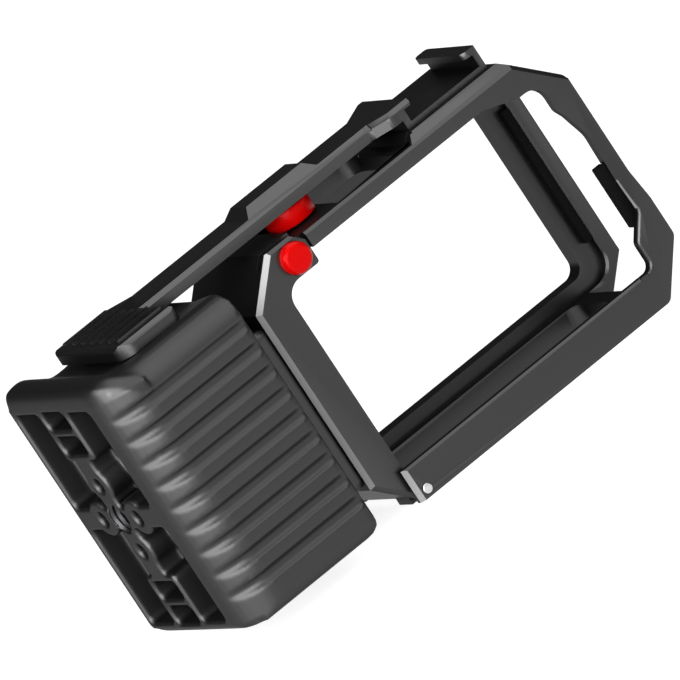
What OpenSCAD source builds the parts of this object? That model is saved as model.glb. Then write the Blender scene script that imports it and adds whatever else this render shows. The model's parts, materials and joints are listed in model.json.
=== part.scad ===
// Camera cage with side grip, top arm, cold shoe and a front frame that swings open.
// Frame: origin at the 1/4 inch hole on the grip's end face, +X from the grip to the cage,
// +Y to the back, away from the lens, +Z up. All sizes in millimetres.

/* [Grip] */
// Length of the grip along X
grip_len = 35.1; // [32:0.1:37]
// Front of the grip, ahead of the end hole
grip_front = 28.4; // [27:0.1:30]
// Back of the grip, behind the end hole
grip_back = 19.5; // [19:0.1:21]
// Underside of the grip, below the end hole
grip_low = 28.4; // [28:0.1:30]
// Top of the grip's back part, above the end hole
grip_top = 28; // [27.5:0.1:28.2]
// Height of the crest at the front, above the end hole
crest_top = 30.7; // [29.8:0.1:30.8]
// Back end of the crest's slope, ahead of the end hole
crest_run = 10; // [8:0.5:12]
// Radius of the upright edge between end face and front
palm_r = 8.9; // [6:0.1:9]
// Radius of the upper front edge
front_top_r = 7; // [5:0.1:7.5]
// Radius of the lower front edge
front_low_r = 3; // [2:0.1:4]
// Radius of the upper back edge
back_top_r = 7; // [5:0.1:8]
// Radius of the lower back edge
back_low_r = 5; // [3:0.1:6]
// Radius of the upper corner at the cage end
tail_top_r = 2.5; // [1.5:0.1:3]
// Radius of the lower corner at the cage end
tail_low_r = 4; // [2:0.1:5]
// Height of the raised lip at the end face
lip_rise = 3; // [2.8:0.1:3.2]
// Length over which the lip runs out
lip_run = 10; // [8:0.1:11]

/* [Finger grooves] */
// Number of finger grooves
groove_count = 9; // [5:1:9]
// Pitch of the grooves
groove_pitch = 5.37; // [5:0.01:5.4]
// Height of the top groove
groove_first = 22.4; // [22:0.1:22.6]
// Half width of a groove
groove_half = 1.45; // [1:0.05:1.8]
// Depth of a groove
groove_depth = 1; // [0.5:0.1:1]
// Growth of the groove's bend over the palm radius, which runs the groove out
groove_run_out = 0.6; // [0.4:0.1:1]

/* [End face] */
// Depth of the end pockets
pocket_deep = 5.8; // [3:0.1:8]
// Outer wall of the pockets, from the middle
pocket_side = 17.3; // [16:0.1:17.4]
// Inner wall of the narrow part of the pockets
pocket_inner = 6.4; // [6:0.1:7]
// Inner wall of the wide part of the pockets
pocket_wide = 2.9; // [2.6:0.1:3.3]
// Half height of the web between the pockets
pocket_web = 2.7; // [2.4:0.1:3]
// Height where the wide part ends
pocket_step = 14; // [13:0.1:14.4]
// Height where the pockets end
pocket_high = 25.6; // [24:0.1:25.8]
// Radius of the bosses round the holes
boss_r = 4.2; // [3.6:0.1:4.4]
// Corner radius of pockets and slots
pocket_r = 1.5; // [0.5:0.1:1.7]
// Pitch circle radius of the four locating holes
locate_r = 8; // [7.8:0.1:8.2]
// Radius of the four locating holes
locate_hole_r = 1.65; // [1.2:0.05:1.8]
// Depth of the four locating holes
locate_deep = 6; // [4:0.5:8]
// Half width of the strap slots
slot_half = 5.3; // [4:0.1:5.4]
// Height of one strap slot
slot_tall = 4.4; // [3:0.1:4.4]
// Middle of the inner strap slot
slot_inner = 17.8; // [17.6:0.1:18]
// Middle of the outer strap slot
slot_outer = 23.8; // [23.6:0.1:24]

/* [Thread insert] */
// Bore radius of the 1/4 inch thread
thread_r = 2.6; // [2.5:0.05:3.1]
// Radius of the thread's chamfer
thread_mouth_r = 3.4; // [3.2:0.1:3.6]
// Wall radius of the insert
insert_r = 4.2; // [4:0.1:4.6]
// Length of the insert
insert_len = 10; // [8:0.5:12]

/* [Root between grip and cage] */
// Front of the root block
root_front = 10.5; // [9:0.1:10.5]
// Back of the root block
root_back = 15; // [13:0.1:16]
// Underside of the root block
root_low = 24; // [22:0.1:24.5]
// Top of the root block
root_top = 15; // [13:0.1:17]
// Radius of the grip bolts
bolt_r = 2; // [1.5:0.25:2]
// Height of the grip bolts from the middle
bolt_high = 11; // [10:0.5:11.5]

/* [Cage] */
// Outer left wall of the cage
cage_left = 43.7; // [43:0.1:44]
// Outer right side of the cage
cage_right = 128; // [126:0.5:136]
// Underside of the cage
cage_low = 32.8; // [32.6:0.1:33.2]
// Top of the cage at the left
cage_top = 26.7; // [26.5:0.1:26.9]
// Rise of the top at the right
top_rise = 0.6; // [0.4:0.1:0.8]
// Back of the cage
cage_back = 19.5; // [19:0.1:20]
// Front plane of walls and rails
wall_front = 10.5; // [10.3:0.1:10.6]
// Front plane of the top plate
plate_front = 8.9; // [8.7:0.1:8.9]
// Corner cut at the upper left
cut_left = 8.8; // [8:0.1:9]
// Corner cut at the lower left
cut_low_left = 7.9; // [7:0.1:8]
// Width of the corner cut at the upper right
cut_right = 10.4; // [10:0.1:10.8]
// Height of the corner cut at the upper right
cut_right_high = 10.3; // [10:0.1:10.7]
// Corner cut at the lower right
cut_low_right = 7.6; // [7:0.1:8.5]
// Inner face of the left wall
room_left = 50.4; // [50:0.1:50.6]
// Width of the back ring's rim at the right of the seat
right_rim = 3.5; // [3.2:0.1:3.9]
// Floor of the camera's seat
room_low = 28.1; // [27.9:0.1:28.3]
// Ceiling of the camera's seat
room_top = 21.8; // [21.6:0.1:22]
// Corner radius of the camera's seat
room_r = 5; // [3:0.5:6]
// Front plane of the back ring
ring_front = 12.7; // [12.5:0.1:13]
// Depth of the camera's seat in the back ring
seat_deep = 2.3; // [1.5:0.1:2.5]
// Left side of the back window
window_left = 56; // [55.5:0.1:56.5]
// Width of the back ring at the right of the window
right_ring = 8.3; // [8:0.1:8.8]
// Underside of the back window
window_low = 24.9; // [24.5:0.1:25.2]
// Top of the back window
window_top = 17.5; // [17:0.1:17.8]
// Corner radius of the back window
window_r = 3; // [2:0.5:4]
// Foot rail, from the cage's right side
rail_inset = 14.8; // [14.5:0.1:15.5]
// Radius between the foot rail and the back ring
rail_r = 3.2; // [2:0.1:4]
// Width of the foot rail
rail_wide = 3.8; // [3.4:0.1:4]

/* [Shutter opening] */
// Opening in the top plate, from the lock wheel's axis
gate_inset = 6.3; // [6.2:0.1:7]
// Width of the opening in the top plate
gate_wide = 16.3; // [15:0.1:16.6]
// Radius of its back right corner
gate_r = 3.5; // [2:0.1:4]
// Bevel of its upper right edge
gate_bevel = 0.5; // [0.3:0.1:0.7]
// Height of the ledge beside the opening
ledge_top = 25.5; // [25.3:0.1:25.7]
// Width of the ledge at the right of the opening
ledge_wide = 2.6; // [2.3:0.1:2.9]

/* [Post plate] */
// Front plane of the post plate
post_front = 12.5; // [12.4:0.1:12.5]
// Inner edge of the post
post_right = 51.7; // [51.5:0.1:52]
// Right edge of the button tab
tab_right = 61.4; // [61.2:0.1:61.4]
// Underside of the button tab
tab_low = 18.7; // [18.5:0.1:18.9]
// Radius below the tab
tab_r = 4; // [3:0.1:5]
// Bevel of the post plate
post_bevel = 1; // [0.6:0.1:1.2]
// Right end of the hinge foot
foot_right = 56; // [55.5:0.1:56.5]

/* [Front frame] */
// Front plane of the front frame's upper part
door_front = 13; // [12.9:0.1:13.2]
// Thickness of the front frame
door_thick = 2.1; // [2:0.05:2.15]
// Step forward of its lower part
door_step = 1.9; // [1.85:0.05:2]
// Height where the step starts, below the middle
step_high = 6.6; // [6:0.1:7]
// Height where the step ends, below the middle
step_low = 13.3; // [13:0.1:14]
// Underside of the upper bar
bar_low = 22; // [21.8:0.1:22.2]
// Left end of the upper bar
bar_left = 61.8; // [61.8:0.1:62.2]
// Left end of the lower bar
door_left = 50.3; // [50:0.1:50.6]
// Top of the lower bar, below the middle
sill_high = 25.2; // [25:0.1:25.4]
// Height of the lower right corner cut
door_cut_high = 10.5; // [9:0.1:11]
// Width of the lower right corner cut
door_cut_wide = 8.8; // [8:0.1:9.5]
// Bevel along the raised part of the upper bar
brow_bevel = 2.4; // [1.5:0.1:2.5]
// Bevel along the upper right corner
edge_bevel = 0.9; // [0.5:0.1:1.2]
// Depth of the roof behind the raised part
roof_deep = 3.75; // [3:0.05:3.8]
// Thickness of that roof
roof_thick = 1.6; // [1.2:0.1:2]
// Bevel of the lower bar
sill_bevel = 1; // [0.6:0.1:1.2]

/* [Latch tongue] */
// Left end of the latch tongue
tongue_left = 55.4; // [55:0.1:55.8]
// Front plane of the latch tongue
tongue_front = 10.2; // [10.1:0.05:10.2]
// Thickness of the latch tongue
tongue_thick = 1; // [0.8:0.05:1]
// Half height of the latch tongue
tongue_half = 2.8; // [2.6:0.1:3]
// Gap between tongue and button stem
tongue_gap = 0.5; // [0.4:0.05:0.6]

/* [Hinge] */
// Hinge pin, along X
hinge_x = 52.9; // [52.7:0.1:53.1]
// Hinge pin, below the end hole
hinge_low = 31.05; // [31:0.01:31.1]
// Radius of the hinge pin
hinge_r = 1.1; // [1:0.05:1.15]
// Front end of the hinge pin
pin_front = 15.1; // [14.9:0.1:15.3]
// Back end of the hinge pin
pin_back = 4; // [3.6:0.1:4.4]
// Back of the hinge foot
foot_back = 5; // [4.8:0.1:5.2]
// Running clearance of the hinge
hinge_gap = 0.06; // [0.03:0.01:0.1]

/* [Release button] */
// Button, along X
button_x = 57.25; // [57.1:0.05:57.4]
// Button, above the end hole
button_high = 22.5; // [22.4:0.1:22.6]
// Radius of the button
button_r = 3.4; // [3.2:0.1:3.4]
// Front face of the button
button_front = 14.7; // [14.5:0.1:15]
// Depth of the button
button_deep = 2.7; // [2.4:0.1:2.7]
// Bevel of the button
button_bevel = 0.9; // [0.4:0.1:1.1]
// Radius of the button's stem
stem_r = 1.2; // [1:0.05:1.2]
// Running clearance of the button
button_gap = 0.08; // [0.04:0.01:0.1]
// Radius of the spring's bore
spring_bore_r = 2.7; // [2.6:0.1:2.9]
// Back plane of the button's guide block
guide_back = 3; // [2.8:0.1:3.2]

/* [Lock wheel] */
// Lock wheel, along X
wheel_x = 66.7; // [66.5:0.1:66.9]
// Radius of the lock wheel
wheel_r = 5.4; // [5:0.1:5.5]
// Underside of the lock wheel
wheel_low = 25.4; // [25.3:0.1:25.5]
// Thickness of the lock wheel
wheel_thick = 3.8; // [3.4:0.1:3.8]
// Floor of the wheel's recess
recess_floor = 25; // [24.8:0.1:25]
// Room round the wheel in its recess
recess_room = 1; // [0.8:0.1:1.4]
// Radius of the wheel's stud
stud_r = 1.6; // [1.4:0.1:1.8]

/* [Top arm] */
// Underside of the arm
arm_low = 29.6; // [29.5:0.1:29.8]
// Thickness of the arm
arm_thick = 3.1; // [2.8:0.1:3.3]
// Front edge of the arm
arm_front = 6; // [5.8:0.1:6.2]
// Width of the arm
arm_wide = 13; // [12.5:0.1:13.4]
// Bevel along the arm
arm_bevel = 0.95; // [0.5:0.05:1.2]
// Left end of the thumb pad
pad_left = 11.7; // [11.4:0.1:12]
// Length of the thumb pad along X
pad_len = 15.6; // [15:0.1:16]
// Front edge of the thumb pad
pad_front = 20; // [19:0.1:20.5]
// Rim of the thumb pad behind its last ridge
pad_rim = 2.88; // [2.4:0.02:3.4]
// Corner radius of the thumb pad
pad_r = 4; // [3:0.1:5]
// Number of ridges on the thumb pad
ridge_count = 7; // [4:1:7]
// Pitch of the ridges
ridge_pitch = 4.12; // [3.6:0.01:4.15]
// Width of a ridge
ridge_wide = 1; // [0.8:0.1:1.4]
// Height of a ridge
ridge_high = 0.7; // [0.3:0.1:0.8]
// Length of a ridge
ridge_len = 11.6; // [10:0.1:11.8]
// Raised block's left end, from the lock wheel's axis
crown_inset = 10.2; // [9.7:0.1:10.7]
// Length of the raised block
crown_len = 18.9; // [18:0.1:19.5]
// Height of the raised block
crown_rise = 1.9; // [1.5:0.1:2.1]

/* [Cold shoe] */
// Left side of the shoe, from the cage's right side
shoe_inset = 33.4; // [33.2:0.1:33.7]
// Width of the shoe's slot
shoe_slot = 18.9; // [18.6:0.1:19]
// Thickness of the shoe's side walls
shoe_wall = 1.5; // [1.3:0.1:1.8]
// Overhang of the shoe's lips
shoe_lip = 2.1; // [1.6:0.1:2.6]
// Front edge of the shoe
shoe_front = 8.9; // [8.6:0.1:8.9]
// Back edge of the shoe
shoe_back = 13; // [12:0.1:14]
// Floor of the shoe
shoe_floor = 28.5; // [28.4:0.1:28.6]
// Radius of the free corners of the right lip
shoe_lip_r = 1.6; // [0.8:0.1:2]
// Thickness of the shoe's lips
shoe_lip_thick = 1.4; // [1.2:0.1:1.5]

/* [Pads and screws] */
// Thickness of the back pad
back_pad_wide = 1.8; // [1.4:0.1:2.2]
// Top of the back pad
back_pad_top = 12.6; // [10:0.1:14]
// Underside of the back pad
back_pad_low = 20; // [15:0.5:21]
// Left side of the front pad, from the cage's right side
front_pad_inset = 5.6; // [5.4:0.1:6]
// Thickness of the front pad
front_pad_wide = 2.3; // [2:0.1:2.4]
// Underside of the front pad, below the middle
front_pad_low = 16.8; // [12:0.1:18]
// Thickness of the left pad
left_pad_thick = 1.2; // [0.8:0.1:1.5]
// Thread radius of the arm's screws
screw_r = 1.25; // [1:0.05:1.5]
// Head radius of the arm's screws
screw_head_r = 2.4; // [2.2:0.1:2.6]

/* [Hidden] */
$fn = 48;
unit = 1;
// Overrun of cuts past a face
over = 0.5 * unit;
// Depth by which a seated piece enters its seat
seat = 0.3 * unit;

// Back edge of the thumb pad, behind its row of ridges
ridge_lead = 2.4 * unit;
pad_back = (ridge_count - 1) * ridge_pitch + ridge_wide + ridge_lead + pad_rim - pad_front;

// Places that follow the cage's right side or the lock wheel
room_right = cage_right - right_rim;
window_right = cage_right - right_ring;
rail_left = cage_right - rail_inset;
shoe_left = cage_right - shoe_inset;
front_pad_left = cage_right - front_pad_inset;
gate_left = wheel_x + gate_inset;
gate_right = gate_left + gate_wide;
ledge_right = gate_right + ledge_wide;
recess_left = wheel_x - wheel_r - recess_room;
crown_left = wheel_x - crown_inset;

// Points of a corner b between a and c, rounded by r
function unit_to(a, b) = (b - a) / norm(b - a);
function corner(a, b, c, r, steps = 8) =
    r <= 0 ? [b] :
    let (u = unit_to(b, a), v = unit_to(b, c),
        half = acos(u * v) / 2,
        reach = r / tan(half),
        start = b + u * reach,
        mid = b + unit_to([0, 0], u + v) * r / sin(half),
        a0 = atan2(start[1] - mid[1], start[0] - mid[0]),
        turn = (a - b)[0] * (c - b)[1] - (a - b)[1] * (c - b)[0],
        sweep = (turn > 0 ? -1 : 1) * (180 - 2 * half))
    [for (i = [0 : steps]) mid + r * [cos(a0 + sweep * i / steps), sin(a0 + sweep * i / steps)]];

// Outline from [x, y, radius] corners
function rounded(list) =
    let (n = len(list), p = [for (q = list) [q[0], q[1]]])
    [for (i = [0 : n - 1]) each corner(p[(i + n - 1) % n], p[i], p[(i + 1) % n], list[i][2])];

// A plate with its outline in X and Z, from the front plane y0 to the back plane y1
module xz_plate(y0, y1) {
    translate([0, y1, 0]) rotate([90, 0, 0]) linear_extrude(y1 - y0) children();
}

// A bar with its outline in Y and Z, from x0 to x1
module yz_bar(x0, x1) {
    translate([x0, 0, 0]) rotate([90, 0, 90]) linear_extrude(x1 - x0) children();
}

// A plate with its outline in X and Y, from z0 to z1
module xy_plate(z0, z1) {
    translate([0, 0, z0]) linear_extrude(z1 - z0) children();
}

module box(low, high) {
    translate(low) cube(high - low);
}

// Round bars along Y, X and Z
module y_bar(x, z, r, y0, y1) {
    translate([x, y0, z]) rotate([-90, 0, 0]) cylinder(r = r, h = y1 - y0);
}

module x_bar(y, z, r, x0, x1) {
    translate([x0, y, z]) rotate([0, 90, 0]) cylinder(r = r, h = x1 - x0);
}

module z_bar(x, y, r, z0, z1) {
    translate([x, y, z0]) cylinder(r = r, h = z1 - z0);
}

// A 45 degree cut along a front edge that runs from a to b in X and Z
module front_edge_cut(y, a, b, size, run = over) {
    side = size * sqrt(2);
    translate([a[0], y, a[1]]) rotate([0, -atan2(b[1] - a[1], b[0] - a[0]), 0])
        translate([-run, 0, 0]) rotate([45, 0, 0])
            translate([0, -side / 2, -side / 2]) cube([norm(b - a) + 2 * run, side, side]);
}

// The same along a top edge that runs from a to b in X and Y, with the body at its left
module top_edge_cut(z, a, b, size, run) {
    translate([a[0], a[1], z]) rotate([0, 0, atan2(b[1] - a[1], b[0] - a[0])])
        yz_bar(-run, norm(b - a) + run) polygon([
            [-over, -size - over],
            [size + over, over],
            [-over, over]]);
}

// Grip

lip_top = grip_top + lip_rise;
lip_edge = 1.6 * unit;
lip_back_r = 2.5 * unit;

module grip_profile() {
    polygon(rounded([
        [-grip_front, -grip_low, front_low_r],
        [grip_back, -grip_low, back_low_r],
        [grip_back, grip_top, back_top_r],
        [-crest_run, grip_top, 12 * unit],
        [-grip_front, crest_top, front_top_r]]));
}

module lip_profile() {
    polygon(rounded([
        [-grip_front, 0, 0],
        [grip_back, 0, 0],
        [grip_back, lip_top, lip_back_r],
        [-grip_front, lip_top, front_top_r]]));
}

module grip_plan() {
    polygon(rounded([
        [0, -grip_front, palm_r],
        [grip_len, -grip_front, 2 * unit],
        [grip_len, grip_back, 2 * unit],
        [0, grip_back, lip_edge]]));
}

module grip_elevation() {
    polygon(rounded([
        [0, -grip_low, lip_edge],
        [grip_len, -grip_low, tail_low_r],
        [grip_len, crest_top, tail_top_r],
        [0, crest_top, lip_edge]]));
}

module lip_elevation() {
    polygon(rounded([
        [0, 0, 0],
        [lip_run, 0, 0],
        [lip_run, grip_top - over, 0],
        [lip_run / 2 + 0.4 * unit, lip_top, 3 * unit],
        [0, lip_top, lip_edge]]));
}

// Radius of a groove's round bottom, from its half width and depth
groove_r = (groove_half * groove_half + groove_depth * groove_depth) / (2 * groove_depth);
groove_line = groove_depth - groove_r;

groove_bend = palm_r + groove_run_out;

module groove(z) {
    x_bar(-grip_front + groove_line, z, groove_r, palm_r, grip_len + over);
    translate([palm_r, groove_bend + groove_depth - grip_front, z])
        rotate([0, 0, 180]) rotate_extrude(angle = 90)
            translate([groove_bend + groove_r, 0]) circle(groove_r);
}

module pocket_outline() {
    difference() {
        polygon(rounded([
            [pocket_wide, pocket_web, 0],
            [pocket_side, pocket_web, pocket_r],
            [pocket_side, pocket_high, pocket_r],
            [pocket_inner, pocket_high, pocket_r],
            [pocket_inner, pocket_step, pocket_r],
            [pocket_wide, pocket_step, pocket_r / 2]]));
        translate([locate_r, 0]) circle(boss_r);
        translate([0, locate_r]) circle(boss_r);
    }
}

module slot_outline() {
    polygon(rounded([
        [-slot_half, -slot_tall / 2, pocket_r],
        [slot_half, -slot_tall / 2, pocket_r],
        [slot_half, slot_tall / 2, pocket_r],
        [-slot_half, slot_tall / 2, pocket_r]]));
}

bolt_reach = 16 * unit;
dowel_reach = 5 * unit;
dowel_side = 5 * unit;
dowel_r = 1.5 * unit;

module grip_blank() {
    intersection() {
        union() {
            intersection() {
                yz_bar(0, grip_len) grip_profile();
                xz_plate(-grip_front, grip_back) grip_elevation();
            }
            intersection() {
                yz_bar(0, lip_run) lip_profile();
                xz_plate(-grip_front, grip_back) lip_elevation();
            }
        }
        xy_plate(-grip_low, lip_top) grip_plan();
    }
}

module grip_body() {
    color([0.13, 0.13, 0.14]) difference() {
        grip_blank();
        for (i = [0 : groove_count - 1]) groove(groove_first - i * groove_pitch);
        for (a = [0, 1], b = [0, 1])
            mirror([0, a, 0]) mirror([0, 0, b]) yz_bar(-over, pocket_deep) pocket_outline();
        for (b = [0, 1], h = [slot_inner, slot_outer])
            mirror([0, 0, b]) translate([0, 0, h]) yz_bar(-over, pocket_deep) slot_outline();
        for (s = [-1, 1]) {
            x_bar(s * locate_r, 0, locate_hole_r, -over, locate_deep);
            x_bar(0, s * locate_r, locate_hole_r, -over, locate_deep);
        }
        x_bar(0, 0, thread_mouth_r, -over, seat + over);
        x_bar(0, 0, insert_r, seat, insert_len + seat);
        for (s = [-1, 1]) {
            x_bar(0, s * bolt_high, bolt_r, grip_len - bolt_reach, grip_len + over);
            x_bar(s * dowel_side, 0, dowel_r, grip_len - dowel_reach, grip_len + over);
        }
    }
}

module thread_insert() {
    color([0.3, 0.3, 0.31]) difference() {
        x_bar(0, 0, insert_r, seat, insert_len + seat);
        x_bar(0, 0, thread_r, 0, insert_len + over);
        translate([seat, 0, 0]) rotate([0, 90, 0])
            cylinder(r1 = thread_mouth_r, r2 = thread_r, h = thread_mouth_r - thread_r);
    }
}

// Root between grip and cage

bolt_head_r = 3.4 * unit;
bolt_head_left = room_left - 2.6 * unit;
bolt_head_right = room_left - 0.4 * unit;

module root_block() {
    color([0.16, 0.16, 0.17]) difference() {
        yz_bar(grip_len, cage_left) polygon(rounded([
            [-root_front, -root_low, 2 * unit],
            [root_back, -root_low, 3 * unit],
            [root_back, root_top, 3 * unit],
            [-root_front, root_top, 2 * unit]]));
        for (s = [-1, 1]) {
            x_bar(0, s * bolt_high, bolt_r, grip_len - over, cage_left + over);
            x_bar(s * dowel_side, 0, dowel_r, grip_len - over, cage_left + over);
        }
    }
}

module grip_bolts() {
    color([0.6, 0.6, 0.62]) for (s = [-1, 1]) difference() {
        union() {
            x_bar(0, s * bolt_high, bolt_r, grip_len - bolt_reach, bolt_head_right);
            x_bar(0, s * bolt_high, bolt_head_r, bolt_head_left, bolt_head_right);
        }
        x_bar(0, s * bolt_high, 1.2 * unit, bolt_head_left + 0.8 * unit, bolt_head_right + over);
    }
}

module root_dowels() {
    color([0.6, 0.6, 0.62]) for (s = [-1, 1])
        x_bar(s * dowel_side, 0, dowel_r, grip_len - dowel_reach, cage_left + dowel_reach);
}

// Main frame

high_top = cage_top + top_rise;
wheel_y = arm_wide / 2 - arm_front;
nut_r = 3.4 * unit;
nut_top = room_top + 1.9 * unit;
washer_thick = 0.5 * unit;
spring_floor = guide_back + 1.2 * unit;
tab_cut = 2.5 * unit;

module cage_outline() {
    polygon([
        [cage_left, cut_low_left - cage_low],
        [cage_left + cut_low_left, -cage_low],
        [cage_right - cut_low_right, -cage_low],
        [cage_right, cut_low_right - cage_low],
        [cage_right, high_top - cut_right_high],
        [cage_right - cut_right, high_top],
        [ledge_right + high_top - ledge_top, high_top],
        [ledge_right + high_top - ledge_top - top_rise, cage_top],
        [cage_left + cut_left, cage_top],
        [cage_left, cage_top - cut_left]]);
}

module seat_outline() {
    polygon(rounded([
        [room_left, -room_low, room_r],
        [room_right, -room_low, room_r],
        [room_right, room_top, room_r],
        [room_left, room_top, room_r]]));
}

module window_outline() {
    polygon(rounded([
        [window_left, -window_low, window_r],
        [window_right, -window_low, window_r],
        [window_right, window_top, window_r],
        [window_left, window_top, window_r]]));
}

module gate_outline() {
    polygon(rounded([
        [gate_left, -plate_front - over, 0],
        [gate_right, -plate_front - over, 0],
        [gate_right, ring_front, gate_r],
        [gate_left, ring_front, gate_r / 2]]));
}

module post_outline() {
    polygon(rounded([
        [cage_left, cut_low_left - cage_low, 0],
        [cage_left + cut_low_left, -cage_low, 0],
        [foot_right, -cage_low, 0],
        [foot_right, -room_low, 0],
        [post_right, -room_low, 0],
        [post_right, tab_low, tab_r],
        [tab_right, tab_low, 0.7 * unit],
        [tab_right, cage_top - tab_cut, 0],
        [tab_right - tab_cut, cage_top, 0],
        [cage_left + cut_left, cage_top, 0],
        [cage_left, cage_top - cut_left, 0]]));
}

module frame_blank() {
    // Back ring
    xz_plate(ring_front, cage_back) cage_outline();
    // Top plate
    intersection() {
        xz_plate(-plate_front, ring_front + over) cage_outline();
        box([cage_left, -plate_front, room_top], [cage_right, ring_front + over, high_top]);
    }
    // Left wall
    intersection() {
        xz_plate(-wall_front, ring_front + over) cage_outline();
        box([cage_left, -wall_front, -cage_low], [room_left, ring_front + over, cage_top]);
    }
    // Foot rail and the fillet between it and the back ring
    box([rail_left, -wall_front, -cage_low], [rail_left + rail_wide, ring_front + over, -room_low]);
    xy_plate(-cage_low, -room_low) translate([rail_left - rail_r, ring_front - rail_r]) difference() {
        square(rail_r + over);
        circle(rail_r);
    }
    // Hinge foot
    box([room_left - over, -wall_front - over, -cage_low], [foot_right, -foot_back, -room_low]);
    // Post plate with the button tab
    xz_plate(-post_front, -wall_front) post_outline();
    // Guide block for the button
    box([button_x - 4 * unit, -plate_front, tab_low], [button_x + 4 * unit, -guide_back,
        room_top + over]);
}

module frame_bores() {
    y_bar(button_x, button_high, button_r + button_gap, -post_front - over, -wall_front + over);
    y_bar(button_x, button_high, spring_bore_r, -plate_front - over, -spring_floor);
    y_bar(button_x, button_high, stem_r + button_gap, -plate_front - over, -guide_back + over);
    y_bar(button_x, button_high, clip_r + 0.5 * unit, -guide_back - 0.1 * unit, clip_room_back);
    y_bar(hinge_x, -hinge_low, hinge_r, -post_front - over, -foot_back + over);
    z_bar(wheel_x, wheel_y, stud_r, room_top - over, cage_top);
    z_bar(wheel_x, wheel_y, nut_r, room_top - over, nut_top);
    for (s = [-1, 1]) {
        x_bar(0, s * bolt_high, bolt_r, cage_left - over, room_left + over);
        x_bar(0, s * bolt_high, bolt_head_r, bolt_head_left, room_left + over);
        x_bar(s * dowel_side, 0, dowel_r, cage_left - over, cage_left + dowel_reach);
    }
    for (y = screw_ys) {
        z_bar(screw_x, y, screw_r, room_top, high_top + over);
        z_bar(screw_x, y, screw_head_r, room_top - over, screw_seat);
    }
}

module main_frame() {
    color([0.15, 0.15, 0.16]) difference() {
        frame_blank();
        // Seat of the camera and the window behind it
        xz_plate(ring_front - over, ring_front + seat_deep) seat_outline();
        xz_plate(ring_front, cage_back + over) window_outline();
        // Shutter opening, its ledge and the ramp up to the raised top
        xy_plate(room_top - over, high_top + over) gate_outline();
        xz_plate(-plate_front - over, ring_front) polygon([
            [gate_left, ledge_top],
            [ledge_right, ledge_top],
            [ledge_right + high_top - ledge_top + over, high_top + over],
            [gate_left, high_top + over]]);
        xz_plate(-plate_front - over, ring_front - gate_r - 1 * unit) polygon([
            [gate_right - over, ledge_top - gate_bevel - over],
            [gate_right + gate_bevel + over, ledge_top + over],
            [gate_right - over, ledge_top + over]]);
        // Recess of the lock wheel
        xy_plate(recess_floor, high_top) polygon(rounded([
            [recess_left, -plate_front - over, 0],
            [gate_left + over, -plate_front - over, 0],
            [gate_left + over, wheel_y + wheel_r + recess_room, 0],
            [recess_left, wheel_y + wheel_r + recess_room, 3 * unit]]));
        frame_bores();
        // Bevels of the post plate
        front_edge_cut(-post_front, [cage_left, cut_low_left - cage_low],
            [cage_left, cage_top - cut_left], post_bevel);
        front_edge_cut(-post_front, [cage_left, cage_top - cut_left],
            [cage_left + cut_left, cage_top], post_bevel);
        front_edge_cut(-post_front, [cage_left, cut_low_left - cage_low],
            [cage_left + cut_low_left, -cage_low], post_bevel);
        front_edge_cut(-post_front, [cage_left + cut_left, cage_top],
            [tab_right - tab_cut, cage_top], 0.7 * post_bevel);
    }
}

// Front frame that swings open

door_back = door_front - door_thick;
sill_front = door_front + door_step;
sill_back = door_back + door_step;
high_left = ledge_right + high_top - ledge_top;

module door_outline() {
    polygon(rounded([
        [door_left, -cage_low, 0],
        [cage_right - door_cut_wide, -cage_low, 2 * unit],
        [cage_right, door_cut_high - cage_low, 2 * unit],
        [cage_right, high_top - cut_right_high, 2 * unit],
        [cage_right - cut_right, high_top, 2 * unit],
        [high_left, high_top, 0],
        [ledge_right, ledge_top, 0],
        [bar_left, ledge_top, 0],
        [bar_left, bar_low, 0],
        [cage_right - 19.5 * unit, bar_low, 8 * unit],
        [cage_right - 11.6 * unit, bar_low - 2.7 * unit, 2 * unit],
        [cage_right - 5.95 * unit, bar_low - 2.7 * unit, 3.85 * unit],
        [cage_right - 5.95 * unit, bar_low - 9.6 * unit, 2 * unit],
        [cage_right - 4.9 * unit, bar_low - 11.8 * unit, 2 * unit],
        [cage_right - 3.2 * unit, bar_low - 17.6 * unit, 6 * unit],
        [cage_right - 3.8 * unit, bar_low - 36 * unit, 2 * unit],
        [cage_right - 7.9 * unit, bar_low - 41.2 * unit, 2 * unit],
        [cage_right - 7.9 * unit, -sill_high, 2 * unit],
        [door_left, -sill_high, 0]]));
}

module door_profile() {
    // Section in Y and Z: upper part, ramp, lower part
    polygon([
        [-door_back, high_top + over],
        [-door_front, high_top + over],
        [-door_front, -step_high],
        [-sill_front, -step_low],
        [-sill_front, -cage_low - over],
        [-sill_back, -cage_low - over],
        [-sill_back, -step_low],
        [-door_back, -step_high]]);
}

module tongue() {
    low = button_high - tongue_half;
    high = button_high + tongue_half;
    difference() {
        union() {
            box([tongue_left, -tongue_front, low],
                [tab_right - 0.4 * unit, -tongue_front + tongue_thick, high]);
            box([tab_right - 1 * unit, -tongue_front, bar_low + 0.4 * unit],
                [bar_left + 4 * unit, -tongue_front + tongue_thick, ledge_top - 0.4 * unit]);
            box([bar_left + seat, -door_back - over, bar_low + 0.4 * unit],
                [bar_left + 4 * unit, -tongue_front + over, ledge_top - 0.4 * unit]);
        }
        box([tongue_left - over, -tongue_front - over, button_high - stem_r - tongue_gap],
            [button_x, -plate_front, button_high + stem_r + tongue_gap]);
        y_bar(button_x, button_high, stem_r + tongue_gap, -tongue_front - over, -plate_front);
    }
}

module roof() {
    // Cover behind the raised part of the upper bar
    drop = roof_thick * cut_right_high / cut_right;
    xz_plate(-door_back - over, -door_front + roof_deep) polygon([
        [high_left + 0.4 * unit, high_top],
        [cage_right - cut_right, high_top],
        [cage_right - cut_right + roof_thick, high_top - drop],
        [high_left + 0.4 * unit, high_top - drop]]);
}

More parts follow.
